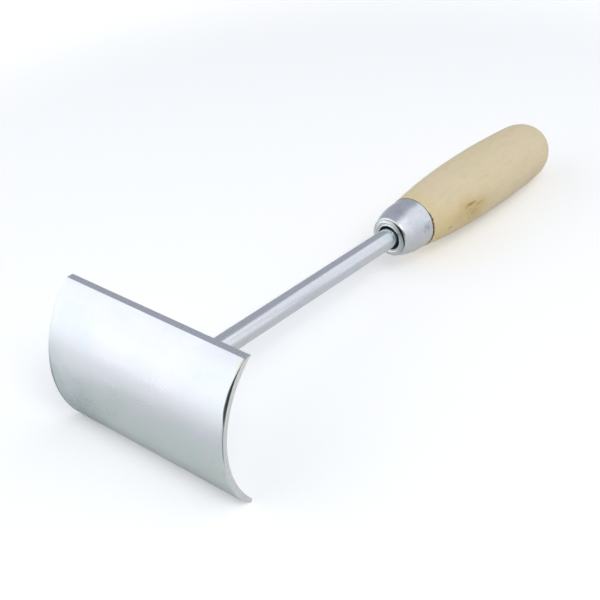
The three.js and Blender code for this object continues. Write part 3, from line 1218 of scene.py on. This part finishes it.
def add_leaning_panel(name, brightness, azimuth, near, far, top, width):
    """A panel by the blade from the floor up, leaning away from it, or lying flat."""
    turn = math.radians(azimuth)
    outward = Vector((math.cos(turn), math.sin(turn), 0))
    foot = Vector((*BY_BLADE, OFF_FLOOR)) + outward * near
    head = Vector((*BY_BLADE, top)) + outward * far
    facing = Vector((0, 0, far - near)) - outward * (head.z - foot.z)
    centre, height = (foot + head) / 2, (head - foot).length
    add_panel(name, brightness, centre, facing, width, height)


def round_about(azimuth, distance, height):
    turn = math.radians(azimuth)
    return (distance * math.cos(turn), distance * math.sin(turn), height)


def set_room(scene, stage):
    """A dim room, darkest behind the camera, that the camera itself sees as pale."""
    scene.world = bpy.data.worlds.new("room")
    tree = bare_tree(scene.world)
    behind = round_about(BEHIND_CAMERA, 1, 0)
    direction = Wire(put(tree, "ShaderNodeTexCoord"), "Generated")
    dark = direction.arrow("DOT_PRODUCT", behind, "Value").band(0.35, 0.85)
    room = mix(dark, stage.room, (0.05, 0.055, 0.05))
    dim = put(tree, "ShaderNodeBackground", {"Color": room})
    pale = put(tree, "ShaderNodeBackground", {"Color": (0.96, 0.96, 0.96)})
    seen = Wire(put(tree, "ShaderNodeLightPath"), "Is Camera Ray")
    inputs = {0: seen, 1: Wire(dim), 2: Wire(pale)}
    surface = seen.to("ShaderNodeMixShader", inputs)
    put(tree, "ShaderNodeOutputWorld", {"Surface": surface})


class HOE_OT_stage(bpy.types.Operator):
    """Sets the pale floor, the soft panels round the tool, the room and the camera"""

    bl_idname = "draw_hoe.stage"
    bl_label = "Stage"

    def execute(self, context):
        scene, stage = context.scene, hoe(context).stage
        clear_selection()
        bpy.ops.mesh.primitive_plane_add(size=8)
        floor = bpy.context.object
        floor.name = "floor"
        floor.data.materials.append(floor_material(stage))

        clear_selection()
        # Azimuth, near and far edge, top and width.
        add_leaning_panel("left_panel", stage.left_light, 130, 0.4, 0.76, 1.22, 1.65)
        add_leaning_panel("card", stage.card_light, 138, 0.1, 0.48, 0.006, 1.0)

        # Place, height it aims at, width and height.
        above = (0, -0.42, 1.2)
        right, side = round_about(-28, 0.95, 1.05), round_about(-85, 1.0, 0.62)
        key = round_about(-118, 0.9, 1.07)
        add_panel_light("right_panel", stage.right_light, right, 1.05, 1.3, 2.06)
        add_panel_light("side_panel", stage.side_light, side, 0.62, 0.7, 1.2)
        add_panel_light("top_panel", stage.top_light, above, 0, 0.8, 0.7)
        add_panel_light("key_panel", stage.key_light, key, 0, 0.6, 0.6)
        set_room(scene, stage)

        bpy.ops.object.camera_add(location=stage.camera_place, rotation=stage.camera_turn)
        camera = bpy.context.object
        camera.name = "photographer"
        camera.data.lens = stage.lens
        camera.data.sensor_width = 36
        camera.data.clip_start, camera.data.clip_end = 0.01, 50
        scene.camera = camera
        scene.view_settings.view_transform = "Standard"
        scene.view_settings.look = "None"
        return {"FINISHED"}


# ---- Panel and registration -----------------------------------------------------------

PIECES = (HOE_OT_blade, HOE_OT_bar, HOE_OT_weld, HOE_OT_ring, HOE_OT_ferrule, HOE_OT_grip)


class HOE_PT_panel(bpy.types.Panel):
    """Lists the pieces of the draw hoe and the stage"""

    bl_idname = "HOE_PT_panel"
    bl_label = "Hand draw hoe"
    bl_space_type = "VIEW_3D"
    bl_region_type = "UI"
    bl_category = "Draw hoe"

    def draw(self, context):
        column = self.layout.column(align=True)
        for operator in (*PIECES, HOE_OT_stage):
            column.operator(operator.bl_idname)
        settings = hoe(context)
        for name in settings.__annotations__:
            part = getattr(settings, name)
            box = self.layout.box()
            box.label(text=name.capitalize())
            for key in part.__annotations__:
                box.prop(part, key)


CLASSES = (
    BladeSettings,
    BarSettings,
    RingSettings,
    FerruleSettings,
    GripSettings,
    FinishSettings,
    StageSettings,
    DrawHoeSettings,
    *PIECES,
    HOE_OT_stage,
    HOE_PT_panel,
)


def register():
    for item in CLASSES:
        bpy.utils.register_class(item)
    bpy.types.Scene.draw_hoe = PointerProperty(type=DrawHoeSettings)


def unregister():
    del bpy.types.Scene.draw_hoe
    for item in reversed(CLASSES):
        bpy.utils.unregister_class(item)


def main():
    register()
    finish = bpy.context.scene.draw_hoe.finish
    plating_film_group(finish)
    scratches_group()
    specks_group()
    tool_lines_group()
    bpy.ops.draw_hoe.blade()
    bpy.ops.draw_hoe.bar()
    bpy.ops.draw_hoe.weld()
    bpy.ops.draw_hoe.ring()
    bpy.ops.draw_hoe.ferrule()
    bpy.ops.draw_hoe.grip()
    bpy.ops.draw_hoe.stage()


if __name__ == "__main__":
    main()
